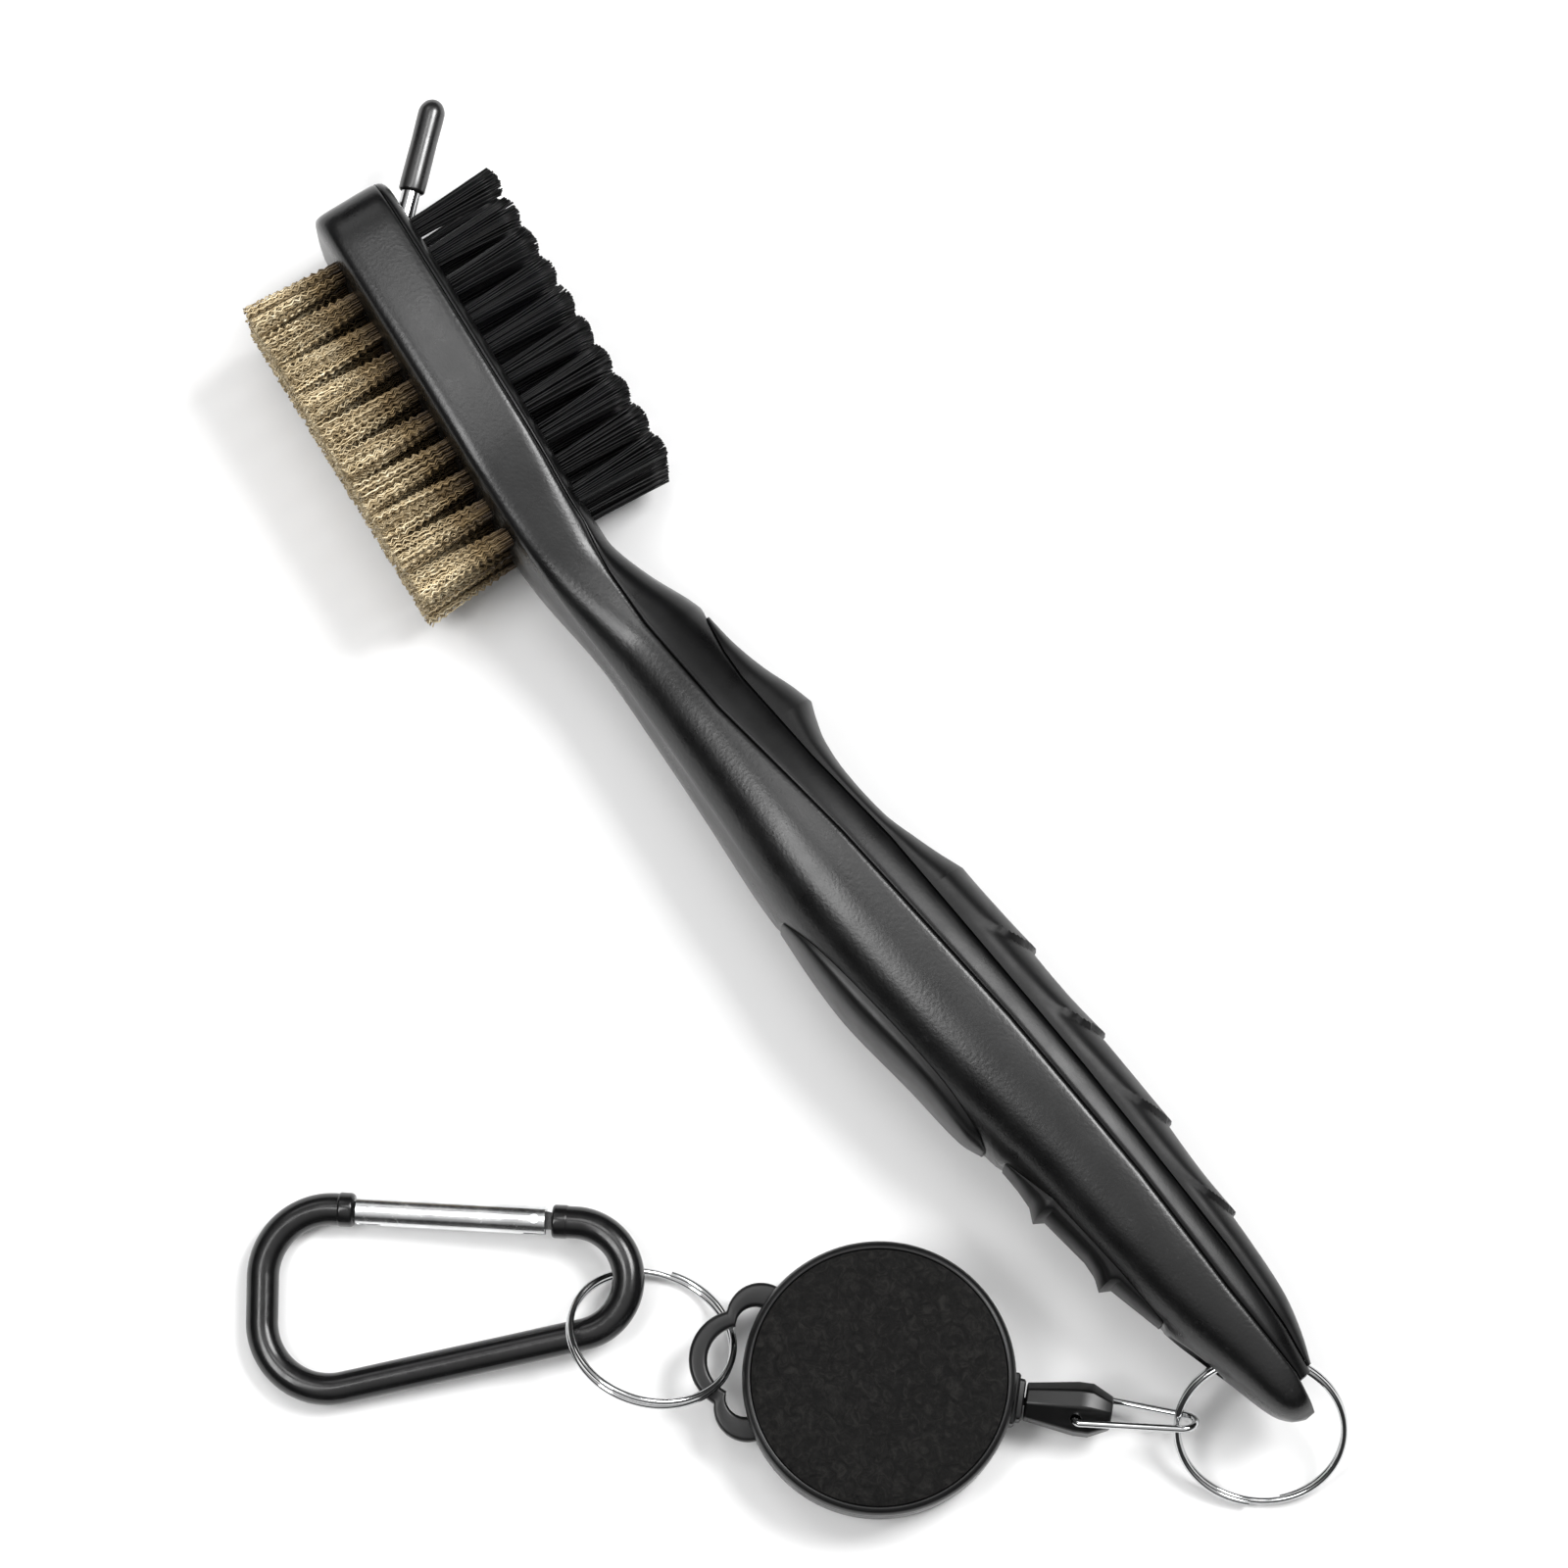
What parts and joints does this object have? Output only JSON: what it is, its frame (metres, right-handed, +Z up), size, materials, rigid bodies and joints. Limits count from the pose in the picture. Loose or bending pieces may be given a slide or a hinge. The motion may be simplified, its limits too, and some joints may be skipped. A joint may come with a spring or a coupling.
{
  "type": "club groove brush",
  "caption": "Two-sided golf club cleaning brush with bronze and nylon bristles, a capped groove spike, and a clip-on retractable reel with a carabiner.",
  "frame": {"origin": "bottom centre of the whole object's box as it lies on a table, brush on its side and reel on its back", "axes": "+X along the brush from its head to its handle's ring, +Y towards the nylon bristles, +Z up from the table"},
  "size_m": [0.2036, 0.1191, 0.024],
  "materials": {
    "handle_core_plastic": "satin charcoal moulding",
    "shell_plastic": "semi-gloss black moulding",
    "pad_rubber": "soft black overmould",
    "inlay_plastic": "satin black insert",
    "bronze_wire": "crimped phosphor bronze wire",
    "nylon_filament": "straight black nylon filament",
    "anchor_metal": "bright wire staple",
    "spike_chrome": "polished plated steel",
    "cap_vinyl": "glossy dipped vinyl",
    "ring_chrome": "plated spring wire",
    "fitting_plastic": "satin black moulding",
    "cord_nylon": "braided cord",
    "reel_case_plastic": "satin black moulding",
    "face_disc_plastic": "mottled matte disc",
    "post_steel": "turned post",
    "spring_steel": "spring steel",
    "spool_plastic": "natural acetal",
    "carabiner_anodised": "glossy black anodised rod",
    "gate_aluminium": "plain polished sleeve",
    "pin_steel": "rivet steel"
  },
  "bodies": {
    "brush": {"handle_core": "handle_core_plastic", "nylon_side_shell": "shell_plastic", "finger_grip_pad": "pad_rubber", "thumb_inlay": "inlay_plastic", "palm_grip_pad": "pad_rubber", "bronze_tufts_top_row": "bronze_wire", "bronze_tufts_middle_row": "bronze_wire", "bronze_tufts_bottom_row": "bronze_wire", "nylon_tufts_top_row": "nylon_filament", "nylon_tufts_middle_row": "nylon_filament", "nylon_tufts_bottom_row": "nylon_filament", "bronze_tuft_anchors": "anchor_metal", "nylon_tuft_anchors": "anchor_metal", "groove_spike": "spike_chrome"},
    "spike_cap": {"spike_cap": "cap_vinyl"},
    "handle_ring": {"handle_split_ring": "ring_chrome"},
    "wire_loop": {"wire_loop": "ring_chrome"},
    "cord_end": {"cord_end_fitting": "fitting_plastic", "cord_knot": "cord_nylon", "cord_lead": "cord_nylon"},
    "reel": {"reel_back_case": "reel_case_plastic", "reel_front_cover": "reel_case_plastic", "reel_face_disc": "face_disc_plastic", "spool_post": "post_steel", "spiral_spring": "spring_steel", "cord_inner_run": "cord_nylon"},
    "spool": {"spool": "spool_plastic", "wound_cord": "cord_nylon"},
    "lug_ring": {"reel_split_ring": "ring_chrome"},
    "carabiner": {"carabiner_body": "carabiner_anodised"},
    "gate": {"gate_sleeve": "gate_aluminium", "gate_pivot_pin": "pin_steel", "gate_latch_pin": "pin_steel", "gate_spring": "spring_steel", "gate_plunger": "pin_steel"}
  },
  "joints": [
    {"name": "cap_pull", "type": "slide", "parent": "brush", "child": "spike_cap", "axis": [-0.5878, 0.809, 0], "range_m": [0, 0.014]},
    {"name": "handle_ring_swing", "type": "hinge", "parent": "brush", "child": "handle_ring", "pos_m": [0.08659, 0.03415, 0.012], "axis": [0.7193, 0.6947, 0], "range_deg": [-60, 10]},
    {"name": "loop_swing", "type": "hinge", "parent": "handle_ring", "child": "wire_loop", "pos_m": [0.08449, 0.02164, 0.00672], "axis": [0.569, -0.5892, -0.5736], "range_deg": [-60, 45]},
    {"name": "cord_end_swing", "type": "hinge", "parent": "wire_loop", "child": "cord_end", "pos_m": [0.0755, 0.01369, 0.0046], "axis": [0.2732, -0.5241, 0.8066], "range_deg": [-20, 90]},
    {"name": "cord_pull", "type": "slide", "parent": "cord_end", "child": "reel", "axis": [-0.749, -0.6626, 0], "range_m": [0, 0.6], "stiffness_N_per_m": 0.6},
    {"name": "spool_turn", "type": "hinge", "parent": "reel", "child": "spool", "pos_m": [0.05693, -0.00274, 0.0041], "axis": [0, 0, 1], "range_deg": [-3600, 0]},
    {"name": "lug_ring_swing", "type": "hinge", "parent": "reel", "child": "lug_ring", "pos_m": [0.04058, -0.01553, 0.00669], "axis": [-0.7344, 0.641, 0.2232], "range_deg": [-35, 35]},
    {"name": "carabiner_swing", "type": "hinge", "parent": "lug_ring", "child": "carabiner", "pos_m": [0.03027, -0.02291, 0.00452], "axis": [-0.3815, 0.8065, 0.4517], "range_deg": [-45, 45]},
    {"name": "gate_open", "type": "hinge", "parent": "carabiner", "child": "gate", "pos_m": [0.01443, -0.02199, 0.00444], "axis": [-0.0468, -0.054, 0.9974], "range_deg": [0, 25], "stiffness_Nm_per_rad": 0.02, "springref_deg": -8.59}
  ],
  "couplings": [
    {"joint": "spool_turn", "follows": "cord_pull", "rad_per_m": -95}
  ]
}
